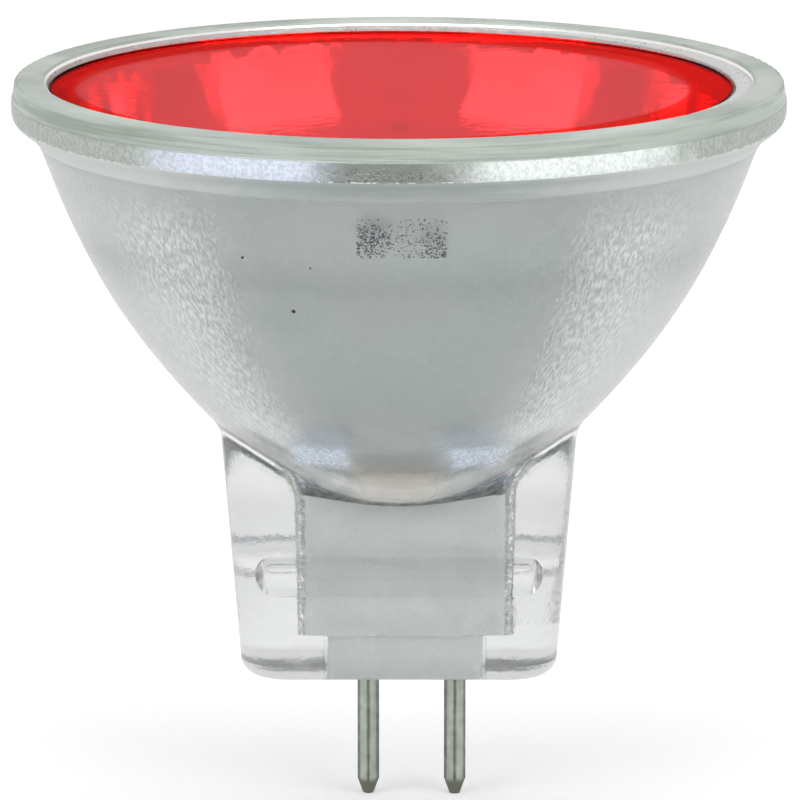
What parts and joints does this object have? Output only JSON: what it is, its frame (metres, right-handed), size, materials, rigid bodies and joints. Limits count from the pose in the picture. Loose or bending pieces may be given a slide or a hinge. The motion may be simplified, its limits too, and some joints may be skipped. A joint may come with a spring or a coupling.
{
  "type": "halogen reflector bulb",
  "caption": "Small low-voltage halogen reflector lamp: pressed-glass bowl with a red cover glass, clear flat-sided neck with clip grooves, and a two-pin base set in cement.",
  "frame": {"origin": "The middle of the flat end of the glass neck, which is the face that stops against the lampholder.", "axes": "+Z runs from the pins to the mouth, along the bowl's axis. X runs across the two pins. Y runs through the neck's broad faces."},
  "size_m": [0.0354, 0.0354, 0.0337],
  "materials": {
    "coated_glass": "clear pressed glass with a mirror film on the inside of the bowl",
    "red_glass": "polished",
    "clear_bead": "clear, uneven",
    "white_cement": "matt",
    "quartz": "polished",
    "tungsten": "drawn wire",
    "molybdenum": "rolled foil and drawn wire",
    "pin_metal": "drawn, with fine lengthwise lines"
  },
  "bodies": {
    "root": {"reflector": "coated_glass", "cover_glass": "red_glass", "cover_seal": "clear_bead", "neck_cement": "white_cement", "capsule_envelope": "quartz", "filament": "tungsten", "foil_left": "molybdenum", "foil_right": "molybdenum", "inner_lead_left": "molybdenum", "inner_lead_right": "molybdenum", "outer_lead_left": "molybdenum", "outer_lead_right": "molybdenum", "pin_left": "pin_metal", "pin_right": "pin_metal"}
  },
  "joints": []
}
